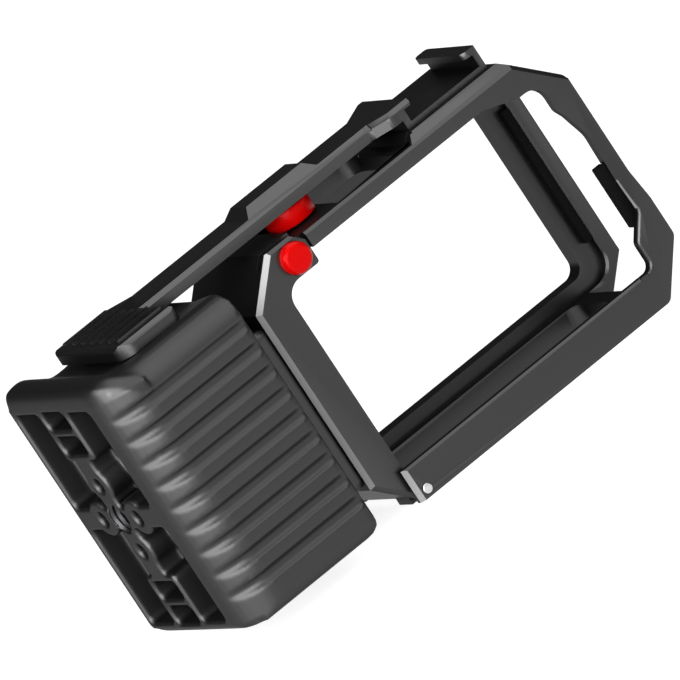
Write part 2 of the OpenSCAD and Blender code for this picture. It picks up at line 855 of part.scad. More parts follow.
module front_frame() {
    color([0.15, 0.15, 0.16]) difference() {
        union() {
            intersection() {
                xz_plate(-sill_front, -door_back) door_outline();
                yz_bar(door_left - over, cage_right + over) door_profile();
            }
            tongue();
            roof();
        }
        front_edge_cut(-door_front, [bar_left, high_top],
            [cage_right - cut_right + brow_bevel, high_top], brow_bevel);
        front_edge_cut(-door_front, [cage_right - cut_right, high_top],
            [cage_right, high_top - cut_right_high], edge_bevel);
        front_edge_cut(-sill_front, [door_left, -cage_low], [door_left, -sill_high], sill_bevel);
        front_edge_cut(-sill_front, [door_left, -sill_high],
            [cage_right - 12 * unit, -sill_high], sill_bevel / 2);
        y_bar(hinge_x, -hinge_low, hinge_r + hinge_gap, -sill_front - over, -sill_back + over);
        front_pad_block();
    }
}

module hinge_pin() {
    color([0.85, 0.85, 0.86]) y_bar(hinge_x, -hinge_low, hinge_r, -pin_front, -pin_back);
}

module pin_clip() {
    color([0.6, 0.6, 0.62]) difference() {
        y_bar(hinge_x, -hinge_low, cage_low - hinge_low - 0.05 * unit, -foot_back, -pin_back);
        y_bar(hinge_x, -hinge_low, hinge_r, -foot_back - over, -pin_back + over);
    }
}

// Rubber pads

module back_pad() {
    color([0.02, 0.02, 0.02]) box([room_right - back_pad_wide, ring_front + 0.2 * unit, -back_pad_low],
        [room_right, ring_front + seat_deep, back_pad_top]);
}

module left_pad() {
    color([0.02, 0.02, 0.02]) box([room_left, 2 * unit, -back_pad_low / 2],
        [room_left + left_pad_thick, 10 * unit, 8 * unit - back_pad_low / 2]);
}

pad_step = 2.4 * unit;
pad_proud = 0.9 * unit;

module front_pad_block() {
    box([front_pad_left, -door_back - 0.8 * door_thick, -front_pad_low],
        [front_pad_left + front_pad_wide, -door_back + pad_proud, -pad_step]);
}

module front_pad() {
    color([0.02, 0.02, 0.02]) front_pad_block();
}

// Release button

button_back = button_front - button_deep;
collar_front = 8.5 * unit;
collar_back = 7.6 * unit;
clip_thick = 0.8 * unit;
clip_front = guide_back - 0.4 * unit;
clip_r = stem_r + 1.2 * unit;
clip_room_back = 1 * unit;

module release_button() {
    color([0.82, 0.05, 0.04]) difference() {
        union() {
            y_bar(button_x, button_high, button_r, -button_front + button_bevel, -button_back);
            translate([button_x, -button_front, button_high]) rotate([-90, 0, 0])
                cylinder(r1 = button_r - button_bevel, r2 = button_r, h = button_bevel);
        }
        y_bar(button_x, button_high, stem_r, -button_back - 1 * unit, -button_back + over);
    }
}

module button_stem() {
    color([0.6, 0.6, 0.62]) {
        y_bar(button_x, button_high, stem_r, -button_back - 1 * unit, -clip_front + 1.4 * unit);
        y_bar(button_x, button_high, spring_bore_r - 0.4 * unit, -collar_front, -collar_back);
    }
}

module button_spring() {
    color([0.7, 0.7, 0.72]) difference() {
        y_bar(button_x, button_high, spring_bore_r - 0.5 * unit, -collar_back, -spring_floor);
        y_bar(button_x, button_high, stem_r + 0.4 * unit, -collar_back - over, -spring_floor + over);
    }
}

module button_clip() {
    color([0.6, 0.6, 0.62]) difference() {
        y_bar(button_x, button_high, clip_r, -clip_front, -clip_front + clip_thick);
        y_bar(button_x, button_high, stem_r, -clip_front - over, -clip_front + clip_thick + over);
    }
}

// Lock wheel

wheel_top = wheel_low + wheel_thick;
arm_top = arm_low + arm_thick;
crown_top = arm_top + crown_rise;
stud_top = crown_top - 1.2 * unit;
wheel_gap = 0.06 * unit;

module lock_wheel() {
    color([0.82, 0.05, 0.04]) difference() {
        z_bar(wheel_x, wheel_y, wheel_r, wheel_low, wheel_top);
        z_bar(wheel_x, wheel_y, stud_r + wheel_gap, wheel_low - over, wheel_top + over);
    }
}

module wheel_stud() {
    color([0.6, 0.6, 0.62]) z_bar(wheel_x, wheel_y, stud_r, room_top + 0.2 * unit, stud_top);
}

module wheel_washer() {
    color([0.7, 0.7, 0.72]) difference() {
        z_bar(wheel_x, wheel_y, nut_r, nut_top - washer_thick, nut_top);
        z_bar(wheel_x, wheel_y, stud_r, room_top, nut_top + over);
    }
}

module wheel_nut() {
    color([0.6, 0.6, 0.62]) difference() {
        z_bar(wheel_x, wheel_y, nut_r, room_top + 0.1 * unit, nut_top - washer_thick);
        z_bar(wheel_x, wheel_y, stud_r, room_top - over, nut_top + over);
    }
}

// Top arm with thumb pad, raised block and cold shoe

arm_back = arm_wide - arm_front;
pad_right = pad_left + pad_len;
shoe_right = shoe_left + 2 * shoe_wall + shoe_slot;
screw_x = shoe_left + shoe_wall + shoe_slot / 2;
screw_edge = 6 * unit;
screw_ys = [screw_edge - shoe_front, shoe_back - screw_edge];
screw_head = 2 * unit;
screw_seat = room_top + screw_head;
screw_top = shoe_floor - 0.3 * unit;
lip_inner = shoe_wall + shoe_lip;

arm_corners = [
    [pad_left, -pad_front, pad_r],
    [pad_right, -pad_front, pad_r / 2],
    [pad_right, -arm_front, 0],
    [shoe_left - 6.5 * unit, -arm_front, 3 * unit],
    [shoe_left - 2 * unit, -shoe_front, 3 * unit],
    [shoe_left + lip_inner, -shoe_front, 0.5 * unit],
    [shoe_left + lip_inner, shoe_back, 0.5 * unit],
    [shoe_left + 2 * unit, shoe_back, 2.4 * unit],
    [shoe_left - 4.7 * unit, arm_back, 3 * unit],
    [pad_right + 4 * unit, arm_back, 3 * unit],
    [pad_right - 1 * unit, pad_back, 3 * unit],
    [pad_left, pad_back, pad_r / 2]];

module arm_bevels() {
    n = len(arm_corners);
    for (i = [0 : n - 1]) {
        a = arm_corners[i];
        b = arm_corners[(i + 1) % n];
        if (i != 5) top_edge_cut(arm_top, [a[0], a[1]], [b[0], b[1]], arm_bevel, i == 2 ? 2 * over : over);
    }
}

module shoe_floor_plan() {
    polygon(rounded([
        [shoe_left - 2 * unit, -shoe_front, 0],
        [shoe_right, -shoe_front, 0.5 * unit],
        [shoe_right, shoe_back, 1 * unit],
        [shoe_left + 2 * unit, shoe_back, 2.4 * unit],
        [shoe_left - 2 * unit, shoe_back - 3.6 * unit, 0]]));
}

module shoe_rail() {
    // Right side wall with its lip
    xy_plate(high_top, arm_top) polygon(rounded([
        [shoe_right - shoe_wall, -shoe_front, 0],
        [shoe_right, -shoe_front, 0.5 * unit],
        [shoe_right, shoe_back, 1 * unit],
        [shoe_right - shoe_wall, shoe_back, 0]]));
    xy_plate(arm_top - shoe_lip_thick, arm_top) polygon(rounded([
        [shoe_right - lip_inner, -shoe_front, shoe_lip_r],
        [shoe_right, -shoe_front, 0.5 * unit],
        [shoe_right, shoe_back, 1 * unit],
        [shoe_right - lip_inner, shoe_back, shoe_lip_r]]));
}

module crown_elevation() {
    polygon([
        [crown_left, arm_low + over],
        [crown_left + crown_len, arm_low + over],
        [crown_left + crown_len, arm_top],
        [crown_left + crown_len - crown_rise, crown_top],
        [crown_left + crown_rise, crown_top],
        [crown_left, arm_top]]);
}

module crown_section() {
    slope = arm_bevel + crown_rise;
    polygon([
        [-arm_front, arm_low + over],
        [arm_back, arm_low + over],
        [arm_back, arm_top - arm_bevel],
        [arm_back - slope, crown_top],
        [-arm_front + slope, crown_top],
        [-arm_front, arm_top - arm_bevel]]);
}

foot_side = 1.6 * unit;
pad_foot_front = 7 * unit;
pad_foot_back = 6.8 * unit;

module pad_foot() {
    // Foot under the thumb pad, standing on the grip
    xz_plate(-pad_foot_front, pad_foot_back) polygon([
        [pad_left + foot_side + 2 * unit, grip_top],
        [pad_right - foot_side - 2 * unit, grip_top],
        [pad_right - foot_side, arm_low + over],
        [pad_left + foot_side, arm_low + over]]);
}

module arm_blank() {
    difference() {
        xy_plate(arm_low, arm_top) polygon(rounded(arm_corners));
        arm_bevels();
        box([shoe_left + shoe_wall, -shoe_front - over, arm_low - over],
            [shoe_right, shoe_back + over, arm_top - shoe_lip_thick]);
    }
    difference() {
        xy_plate(high_top, arm_low + over) shoe_floor_plan();
        box([shoe_left - 2 * unit - over, -shoe_front - over, high_top - over],
            [shoe_left, shoe_back + over, arm_low + 2 * over]);
        box([shoe_left + shoe_wall, -shoe_front - over, shoe_floor],
            [shoe_right + over, shoe_back + over, arm_low + 2 * over]);
    }
    shoe_rail();
    intersection() {
        xz_plate(-arm_front, arm_back) crown_elevation();
        yz_bar(crown_left, crown_left + crown_len) crown_section();
    }
    for (i = [0 : ridge_count - 1])
        translate([pad_left + 2 * unit, -pad_front + ridge_lead + i * ridge_pitch, arm_top - over])
            cube([ridge_len, ridge_wide, ridge_high + over]);
    pad_foot();
}

module top_arm() {
    color([0.15, 0.15, 0.16]) difference() {
        arm_blank();
        z_bar(wheel_x, wheel_y, stud_r, arm_low - over, stud_top);
        for (y = screw_ys) z_bar(screw_x, y, screw_r, high_top - over, screw_top);
    }
}

module arm_screws() {
    color([0.6, 0.6, 0.62]) for (y = screw_ys) difference() {
        union() {
            z_bar(screw_x, y, screw_r, screw_seat - over, screw_top);
            z_bar(screw_x, y, screw_head_r, room_top + 0.3 * unit, screw_seat);
        }
        z_bar(screw_x, y, 1 * unit, room_top - over, room_top + 1.3 * unit);
    }
}

grip_body();
thread_insert();
root_block();
grip_bolts();
root_dowels();
main_frame();
top_arm();
arm_screws();
back_pad();
left_pad();
hinge_pin();
pin_clip();
front_frame();
front_pad();
release_button();
button_stem();
button_spring();
button_clip();
lock_wheel();
wheel_stud();
wheel_washer();
wheel_nut();
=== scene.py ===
"""Camera cage with side grip: the finished look of every piece, on its stage."""

import json
import math

import bmesh
import bpy
from mathutils import Matrix, Vector


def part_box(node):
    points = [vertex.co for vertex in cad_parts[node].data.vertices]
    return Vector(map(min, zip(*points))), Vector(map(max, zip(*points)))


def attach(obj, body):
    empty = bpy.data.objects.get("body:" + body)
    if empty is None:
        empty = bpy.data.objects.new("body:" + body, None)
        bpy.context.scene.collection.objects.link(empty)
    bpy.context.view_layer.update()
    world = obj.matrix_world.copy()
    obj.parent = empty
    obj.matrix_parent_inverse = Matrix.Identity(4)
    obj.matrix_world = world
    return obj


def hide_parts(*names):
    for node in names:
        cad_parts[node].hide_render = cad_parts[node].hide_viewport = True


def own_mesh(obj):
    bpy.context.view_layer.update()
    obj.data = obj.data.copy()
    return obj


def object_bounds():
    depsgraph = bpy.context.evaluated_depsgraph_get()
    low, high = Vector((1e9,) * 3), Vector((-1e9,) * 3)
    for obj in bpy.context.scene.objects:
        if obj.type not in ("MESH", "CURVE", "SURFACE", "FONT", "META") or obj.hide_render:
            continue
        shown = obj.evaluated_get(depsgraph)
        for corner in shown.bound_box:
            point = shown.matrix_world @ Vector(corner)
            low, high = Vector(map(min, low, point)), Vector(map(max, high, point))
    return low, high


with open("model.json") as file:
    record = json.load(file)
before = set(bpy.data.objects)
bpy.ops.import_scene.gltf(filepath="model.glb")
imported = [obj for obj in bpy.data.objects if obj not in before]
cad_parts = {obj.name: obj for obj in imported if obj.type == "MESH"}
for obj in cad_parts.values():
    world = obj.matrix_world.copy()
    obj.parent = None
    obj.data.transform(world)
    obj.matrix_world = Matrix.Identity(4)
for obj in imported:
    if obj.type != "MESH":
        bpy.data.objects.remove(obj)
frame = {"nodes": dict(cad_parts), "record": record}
CAD_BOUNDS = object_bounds()

bl_info = {
    "name": "Camera cage",
    "version": (1, 0, 0),
    "blender": (4, 5, 0),
    "location": "3D View > Sidebar > Camera cage",
    "description": "Dresses the camera cage and sets its stage",
    "category": "Object",
}

MM = 0.001

# The photograph's view in the cage's own frame: its directions, the point it looks at, the
# width it shows, the camera's sensor in mm and how far it sees
VIEW_RIGHT = Vector((0.7233, -0.4368, -0.5349))
VIEW_UP = Vector((0.5842, -0.0260, 0.8112))
VIEW_BACK = Vector((-0.3682, -0.8992, 0.2364))
VIEW_TARGET = Vector((59.8, -2.4, 0.73)) * MM
FRAME_WIDTH = 136.0 * MM
SENSOR = 36.0
CLIP_END = 100.0

# The floor's middle along X, and its distance below the cage
FLOOR_X = 0.06
FLOOR_GAP = 0.05 * MM

# Lights: direction from the cage, distance and size in metres, and the setting of their power
LIGHTS = (
    ("Key light", (-0.34, -0.24, 0.17), 0.45, (0.75, 0.45), "key_power"),
    ("Top light", (0.37, -0.24, 0.90), 1.0, (1.2, 1.2), "top_power"),
    ("Front light", (0.20, -0.90, 0.35), 1.2, (1.0, 0.6), "front_power"),
)

# Turns that bring a piece made round Z to an axis
TURNS = {"X": (0.0, math.pi / 2, 0.0), "Y": (-math.pi / 2, 0.0, 0.0), "Z": (0.0, 0.0, 0.0)}

# In a copy of a CAD node, points within the gap are one, and so are faces within the angle
MERGE_GAP = 0.002 * MM
FLAT_ANGLE = math.radians(0.4)

# An edge is in a plane within the slack, and an outer edge turns by more than the angle
PLANE_SLACK = 0.01 * MM
OUTER_ANGLE = math.radians(20.0)

# Radians between two faces at a square corner or a sharper one, and at the door's window rim
STEEP_ANGLE = 1.2
RIM_ANGLE = 0.5

# Degrees up to which bevelled rounds, and the coil's wire, are shaded smooth
ROUND_SHADING = 40.0
WIRE_SHADING = 60.0

# Sides of round bars and hexagon sockets, and steps per turn of coil, thread and clips
BUTTON_SIDES = 96
WHEEL_SIDES = 128
HEXAGON = 6
COIL_STEPS = 32
THREAD_STEPS = 48
CLIP_STEPS = 56

# Widths of the bevels on the small pieces
BEVEL = {
    "bush mouth": 0.55 * MM, "bush rim": 0.25 * MM, "bolt head": 0.35 * MM,
    "bolt tip": 0.40 * MM, "screw": 0.25 * MM, "dowel": 0.30 * MM, "cap back": 0.20 * MM,
    "stem": 0.12 * MM, "pin": 0.22 * MM, "clip": 0.08 * MM, "wheel": 0.30 * MM,
    "stud": 0.25 * MM, "nut": 0.10 * MM,
}

# The rim of the thread's bush on the grip's end face
BUSH_RIM = 4.6 * MM

# The 1/4 inch thread: radii, pitch, its place behind the mouth and what it leaves at both ends
THREAD_CREST = 2.62 * MM
THREAD_ROOT = 3.17 * MM
THREAD_PITCH = 1.27 * MM
THREAD_START = 0.7 * MM
THREAD_ENDS = 1.6 * MM

# Its ridge: how far the foot sinks into the bore, and the foot and the two corners of the
# crest as shares of the pitch
FOOT_SINK = 0.1 * MM
RIDGE_FOOT, CREST_END, CREST_START = 0.85, 0.47, 0.38

# Edges of the bush's mouth lie within this of the bore, and those of its rim beyond the other
MOUTH_SLACK = 0.15 * MM
RIM_CLEAR = 0.5 * MM

# The grip's outer rim and lip: reach from the end face, and how far out they start, in mm
RIM_REACH = 4.0
LIP_REACH = 14.0
RIM_TOP = 26.8
RIM_BACK = 18.3

# Bolts, screws and stud: heads, shanks and hexagon sockets, and the share of a head's depth
# at which its shank starts
HEAD_RADIUS = 3.4 * MM
HEAD_DEEP = 2.2 * MM
SCREW_HEAD = 1.7 * MM
BOLT_SHANK = 2.0 * MM
SCREW_SHANK = 1.2 * MM
BOLT_SOCKET, BOLT_SOCKET_DEEP = 1.45 * MM, 1.3 * MM
SCREW_SOCKET, SCREW_SOCKET_DEEP = 1.1 * MM, 0.9 * MM
STUD_SOCKET, STUD_SOCKET_DEEP = 0.9 * MM, 1.2 * MM
SHANK_START = 0.8

# The wheel's bore
WHEEL_BORE = 1.66 * MM

# The button's spring
SPRING_TURNS = 4
SPRING_WIRE = 0.26 * MM
WIRE_SIDES = 10

# The mouth of the clips, and their inner radius on the stem and on the pin
CLIP_GAP = 1.6 * MM
STEM_CLIP = 1.2 * MM
PIN_CLIP = 1.1 * MM

# The finish of each material slot of the record
SLOT_FINISHES = {
    "grip": "Moulded grip", "frame": "Anodised frame", "door": "Anodised frame",
    "red": "Red anodised", "steel": "Turned steel", "rubber": "Black rubber",
}

# Painted highlight on the chamfer faces at the post's left: left of one place and in front of
# the other
HIGHLIGHT_REACH = 54.0 * MM
HIGHLIGHT_FRONT = -11.0 * MM

# Directions of the faces that get the painted highlight
HIGHLIGHT_NORMAL_X = -0.25
HIGHLIGHT_NORMAL_Y = (-0.9, -0.4)
HIGHLIGHT_NORMAL_Z = -0.3

# The back ring's front plane, where the camera's seat begins
SEAT_FRONT = 12.7 * MM

# The window rim in the door's right bar, and its lower corner, which stays sharp, in mm
WINDOW_X = (118.0, 126.0)
WINDOW_Z = (-25.5, -1.7)
CORNER_X = 121.0
CORNER_Z = -21.0

# Directions along Y of the rim's front face and inner face
FRONT_NORMAL = -0.6
INNER_NORMAL = 0.3

# The arm and the door have slightly finer edges than the main frame
FINER = 0.8

# Pointiness at which the edge wear with its painted highlight, and the painted shade in
# crevices, start and are full
WEAR_AND_SHEEN_RANGE = (0.51, 0.60)
CREVICE_SHADE_RANGE = (0.485, 0.42)
# The colour of the painted shade in crevices
CREVICE_SHADE_COLOUR = (0.004, 0.004, 0.004, 1.0)

# Fine grain: detail of the noise and strength of the bump
GRAIN_DETAIL = 2.0
GRAIN_STRENGTH = 0.25


# Settings


class CAGE_PG_finish(bpy.types.PropertyGroup):
    frame_shade: bpy.props.FloatProperty(
        name="Frame shade", description="Base shade of the anodised frame",
        default=0.044, min=0.0, max=1.0, subtype="FACTOR")
    grip_shade: bpy.props.FloatProperty(
        name="Grip shade", description="Base shade of the moulded grip",
        default=0.044, min=0.0, max=1.0, subtype="FACTOR")
    accent: bpy.props.FloatVectorProperty(
        name="Accent colour", description="Colour of the button and the wheel",
        default=(0.30, 0.0005, 0.0005), min=0.0, max=1.0, subtype="COLOR")
    edge_round: bpy.props.FloatProperty(
        name="Edge rounding", description="Width of the fine bevel on machined edges",
        default=0.22 * MM, min=0.0, unit="LENGTH")
    window_round: bpy.props.FloatProperty(
        name="Window rim rounding", description="Rounding of the right bar's inner rim",
        default=0.80 * MM, min=0.0, unit="LENGTH")
    seat_bevel: bpy.props.FloatProperty(
        name="Seat bevel", description="Bevel round the camera's seat in the back ring",
        default=0.50 * MM, min=0.0, unit="LENGTH")
    pocket_round: bpy.props.FloatProperty(
        name="Pocket rim rounding", description="Rounding of the rims of the end pockets",
        default=0.50 * MM, min=0.0, unit="LENGTH")
    grip_voxel: bpy.props.FloatProperty(
        name="Grip mesh size", description="Size of the faces of the moulded grip",
        default=0.45 * MM, min=0.1 * MM, unit="LENGTH")
    grip_soften: bpy.props.IntProperty(
        name="Grip softness", description="Rounds of smoothing of the moulded grip",
        default=2, min=0)
    rim_soften: bpy.props.IntProperty(
        name="Rim softness", description="Rounds of smoothing of the grip's outer rim and lip",
        default=70, min=0)
    button_round: bpy.props.FloatProperty(
        name="Button rounding", description="Rounding of the button's front rim",
        default=1.20 * MM, min=0.0, unit="LENGTH")
    pad_round: bpy.props.FloatProperty(
        name="Pad rounding", description="Rounding of the rubber pads",
        default=0.30 * MM, min=0.0, unit="LENGTH")


class CAGE_PG_stage(bpy.types.PropertyGroup):
    lens: bpy.props.FloatProperty(
        name="Lens", description="Focal length of the camera in millimetres",
        default=1200.0, min=50.0)
    floor_size: bpy.props.FloatProperty(
        name="Floor size", description="Side of the floor",
        default=9.0, min=1.0, unit="LENGTH")
    floor_shade: bpy.props.FloatProperty(
        name="Floor shade", description="Base shade of the floor",
        default=0.25, min=0.0, max=1.0, subtype="FACTOR")
    key_power: bpy.props.FloatProperty(
        name="Key light", description="Power of the light at the left",
        default=9.0, min=0.0, unit="POWER")
    top_power: bpy.props.FloatProperty(
        name="Top light", description="Power of the light above",
        default=11.5, min=0.0, unit="POWER")
    front_power: bpy.props.FloatProperty(
        name="Front light", description="Power of the light in front",
        default=2.0, min=0.0, unit="POWER")
    sky: bpy.props.FloatProperty(
        name="Sky", description="Strength of the even light all round",
        default=0.09, min=0.0)
    floor_glow: bpy.props.FloatProperty(
        name="Floor glow", description="Light that the floor gives by itself",
        default=0.86, min=0.0)


# Shared tools


def deselect_all():
    """Leaves edit mode and selects nothing."""
    if bpy.context.mode != "OBJECT":
        bpy.ops.object.mode_set(mode="OBJECT")
    bpy.ops.object.select_all(action="DESELECT")


def make_active(piece):
    """Makes the piece the only one selected."""
    deselect_all()
    piece.select_set(True)
    bpy.context.view_layer.objects.active = piece


def settle(piece):
    """Puts the piece's place into its mesh, so that its object sits at the origin."""
    make_active(piece)
    bpy.ops.object.transform_apply(location=True, rotation=True, scale=True)


def apply_modifiers(piece):
    """Applies the piece's modifiers in their order."""
    make_active(piece)
    for modifier in list(piece.modifiers):
        bpy.ops.object.modifier_apply(modifier=modifier.name)


def fine_bevel(piece, width):
    """Bevels every sharp edge of a machined piece."""
    bevel = piece.modifiers.new("Fine bevel", "BEVEL")
    bevel.width = width
    bevel.segments = 2
    bevel.limit_method = "ANGLE"
    bevel.angle_limit = math.radians(30.0)
    bevel.harden_normals = False
    bevel.miter_outer = "MITER_ARC"
    apply_modifiers(piece)


def smooth(piece, angle=30.0):
    """Shades smooth all but the edges sharper than the angle, in degrees."""
    make_active(piece)
    bpy.ops.object.shade_smooth_by_angle(angle=math.radians(angle))


def ease(piece, name, rounds):
    """Adds rounds of smoothing to the piece and returns the modifier."""
    modifier = piece.modifiers.new(name, "SMOOTH")
    modifier.factor = 0.5
    modifier.iterations = rounds
    return modifier


def ease_place(piece, name, inside, rounds):
    """Rounds the part of a mesh whose points, in mm, pass the test."""
    group = piece.vertex_groups.new(name=name)
    group.add([vert.index for vert in piece.data.vertices if inside(vert.co / MM)], 1.0, "ADD")
    ease(piece, name, rounds).vertex_group = name
    apply_modifiers(piece)


def soften(piece, size, rounds):
    """Gives a moulded piece an even mesh and rounds its edges a little."""
    even = piece.modifiers.new("Even mesh", "REMESH")
    even.mode = "VOXEL"
    even.voxel_size = size
    even.use_smooth_shade = True
    ease(piece, "Ease", rounds)
    apply_modifiers(piece)


def bar(name, axis, centre, radius, start, end, sides=64):
    """A round bar along X, Y or Z, between two places on that axis."""
    middle = list(centre)
    middle["XYZ".index(axis)] = (start + end) / 2
    deselect_all()
    bpy.ops.mesh.primitive_cylinder_add(
        vertices=sides, radius=radius, depth=end - start, location=middle, rotation=TURNS[axis])
    piece = bpy.context.active_object
    piece.name = name
    settle(piece)
    return piece


def select_edges(piece, wanted):
    """Opens the piece in edit mode and selects the edges that pass the test."""
    make_active(piece)
    bpy.ops.object.mode_set(mode="EDIT")
    bpy.ops.mesh.select_mode(type="EDGE")
    bpy.ops.mesh.select_all(action="DESELECT")
    mesh = bmesh.from_edit_mesh(piece.data)
    for edge in mesh.edges:
        if wanted(edge):
            edge.select_set(True)
    bmesh.update_edit_mesh(piece.data)


def round_edges(piece, wanted, width, segments=3):
    """Rounds the edges that pass the test."""
    select_edges(piece, wanted)
    bpy.ops.mesh.bevel(offset=width, segments=segments, profile=0.5, affect="EDGES",
                       clamp_overlap=False)
    bpy.ops.object.mode_set(mode="OBJECT")


def in_plane(edge, axis, place):
    """True for a sharp outer edge whose ends lie at one place on the axis, 0, 1 or 2."""
    return (all(abs(vert.co[axis] - place) < PLANE_SLACK for vert in edge.verts)
            and edge.is_manifold and edge.calc_face_angle_signed() > OUTER_ANGLE)


def steep(edge):
    """True for an edge between two faces at about a right angle or sharper."""
    return edge.calc_face_angle(0.0) > STEEP_ANGLE


def middle_of(edge):
    """The point halfway along an edge."""
    return (edge.verts[0].co + edge.verts[1].co) / 2


def from_axis(point):
    """A point's distance from the X axis, on which the thread lies."""
    return math.hypot(point.y, point.z)


def cut_away(piece, tool):
    """Cuts the tool out of the piece and throws the tool away."""
    cut = piece.modifiers.new("Cut", "BOOLEAN")
    cut.operation = "DIFFERENCE"
    cut.solver = "EXACT"
    cut.object = tool
    apply_modifiers(piece)
    bpy.data.objects.remove(tool)


def swept(name, profile, turns, rise, steps):
    """A closed profile in the XZ plane, swept round Z as a coil, a thread or a ring."""
    deselect_all()
    bpy.ops.mesh.primitive_circle_add(
        vertices=len(profile), radius=MM, fill_type="NOTHING", rotation=(math.pi / 2, 0.0, 0.0))
    piece = bpy.context.active_object
    piece.name = name
    settle(piece)
    for vert, (out, up) in zip(piece.data.vertices, profile):
        vert.co = (out, 0.0, up)
    sweep = piece.modifiers.new("Sweep", "SCREW")
    sweep.axis = "Z"
    sweep.angle = 2 * math.pi * turns
    sweep.screw_offset = rise
    sweep.steps = sweep.render_steps = steps
    sweep.use_normal_calculate = True
    apply_modifiers(piece)
    bpy.ops.object.mode_set(mode="EDIT")
    bpy.ops.mesh.select_mode(type="EDGE")
    bpy.ops.mesh.select_all(action="SELECT")
    bpy.ops.mesh.remove_doubles(threshold=0.001 * MM)
    bpy.ops.mesh.select_all(action="DESELECT")
    bpy.ops.mesh.select_non_manifold()
    bpy.ops.mesh.edge_face_add()
    bpy.ops.mesh.select_all(action="SELECT")
    bpy.ops.mesh.normals_make_consistent(inside=False)
    bpy.ops.object.mode_set(mode="OBJECT")
    return piece


def stand(piece, axis, place):
    """Turns a piece made round Z to the axis, and puts it at its place."""
    piece.rotation_euler = TURNS[axis]
    piece.location = place
    settle(piece)
    return piece


def join(piece, *others):
    """Joins the others to the piece."""
    make_active(piece)
    for other in others:
        other.select_set(True)
    bpy.ops.object.join()
    return piece


def open_ring(node, name, body, inner):
    """A clip in place of a ring node: a flat ring along Y with a gap at its foot."""
    low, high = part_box(node)
    outer = (high[0] - low[0]) / 2
    thick = high[1] - low[1]
    share = 1.0 - CLIP_GAP / (2 * math.pi * outer)
    ring = swept(name, [(inner, 0.0), (outer, 0.0), (outer, thick), (inner, thick)],
                 share, 0.0, CLIP_STEPS)
    ring.rotation_euler = (0.0, 0.0, math.pi / 2 + CLIP_GAP / outer / 2)
    settle(ring)
    stand(ring, "Y", ((low[0] + high[0]) / 2, low[1], (low[2] + high[2]) / 2))
    round_edges(ring, steep, BEVEL["clip"], segments=2)
    smooth(ring)
    return hand_over(ring, cage_finishes()["Turned steel"], body, "steel", node)


def flat_faces(piece):
    """Keeps the shading of large faces even beside their narrow bevels."""
    even = piece.modifiers.new("Even shading", "WEIGHTED_NORMAL")
    even.mode = "FACE_AREA"
    even.keep_sharp = True
    apply_modifiers(piece)


def post_highlight_face(face):
    """True for the chamfer faces at the left of the post and of the front frame's sill, which
    get a painted highlight.
    """
    return (face.center.x < HIGHLIGHT_REACH and face.center.y < HIGHLIGHT_FRONT
            and HIGHLIGHT_NORMAL_Y[0] < face.normal.y < HIGHLIGHT_NORMAL_Y[1]
            and face.normal.x < HIGHLIGHT_NORMAL_X and face.normal.z > HIGHLIGHT_NORMAL_Z)


def window_rim(edge):
    """True for the window's front rim in the door's right bar, from the ramp to the sill."""
    if not edge.is_manifold or edge.calc_face_angle_signed() < RIM_ANGLE:
        return False
    middle = middle_of(edge) / MM
    on_rim = (WINDOW_X[0] < middle.x < WINDOW_X[1]
              and WINDOW_Z[0] < middle.z < WINDOW_Z[1])
    off_corner = middle.x < CORNER_X or middle.z > CORNER_Z
    fronts = sorted(face.normal.y for face in edge.link_faces)
    return (on_rim and off_corner and fronts[0] < FRONT_NORMAL
            and abs(fronts[1]) < INNER_NORMAL)


def paint_edge_highlight(piece, wanted):
    """Gives the faces that pass the test a lighter material, a painted highlight."""
    piece.data.materials.append(cage_finishes()["Cut edge"])
    for face in piece.data.polygons:
        if wanted(face):
            face.material_index = 1


def copy_of_node(node, name):
    """A merged copy of a CAD node, with its flat faces made whole again."""
    source = frame["nodes"][node]
    piece = bpy.data.objects.new(name, source.data.copy())
    bpy.context.collection.objects.link(piece)
    piece.data.materials.clear()
    make_active(piece)
    bpy.ops.object.mode_set(mode="EDIT")
    bpy.ops.mesh.select_all(action="SELECT")
    bpy.ops.mesh.remove_doubles(threshold=MERGE_GAP)
    bpy.ops.mesh.dissolve_limited(angle_limit=FLAT_ANGLE)
    bpy.ops.object.mode_set(mode="OBJECT")
    if piece.data.has_custom_normals:
        bpy.ops.mesh.customdata_custom_splitnormals_clear()
    return piece


def hand_over(piece, material, body, slot, *nodes):
    """Gives the piece its finish and its place in the cage's moving bodies."""
    piece.data.materials.clear()
    piece.data.materials.append(material)
    if nodes:
        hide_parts(*nodes)
    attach(piece, body)
    deselect_all()
    return piece


# Finishes


def socket_group(name, inputs, outputs):
    """A new shader node group with the named inputs and outputs."""
    group = bpy.data.node_groups.new(name, "ShaderNodeTree")
    for label, kind, value in inputs:
        made = group.interface.new_socket(name=label, in_out="INPUT", socket_type=kind)
        if value is not None:
            made.default_value = value
    for label, kind in outputs:
        group.interface.new_socket(name=label, in_out="OUTPUT", socket_type=kind)
    return group, group.nodes.new("NodeGroupInput"), group.nodes.new("NodeGroupOutput")


def maths(group, operation, *feeds):
    """The output of a maths node that sockets or plain numbers feed."""
    node = group.nodes.new("ShaderNodeMath")
    node.operation = operation
    for entry, feed in zip(node.inputs, feeds):
        if isinstance(feed, float):
            entry.default_value = feed
        else:
            group.links.new(feed, entry)
    return node.outputs[0]


def spread(group, value, ends):
    """The value as a share of the way from one end to the other."""
    node = group.nodes.new("ShaderNodeMapRange")
    node.inputs["From Min"].default_value, node.inputs["From Max"].default_value = ends
    group.links.new(value, node.inputs["Value"])
    return node.outputs["Result"]


def mixed(group, share, first, second):
    """A mix of the first colour, a socket, with the second, a socket or a plain colour."""
    node = group.nodes.new("ShaderNodeMix")
    node.data_type = "RGBA"
    group.links.new(share, node.inputs["Factor"])
    group.links.new(first, node.inputs["A"])
    if isinstance(second, tuple):
        node.inputs["B"].default_value = second
    else:
        group.links.new(second, node.inputs["B"])
    return node.outputs["Result"]


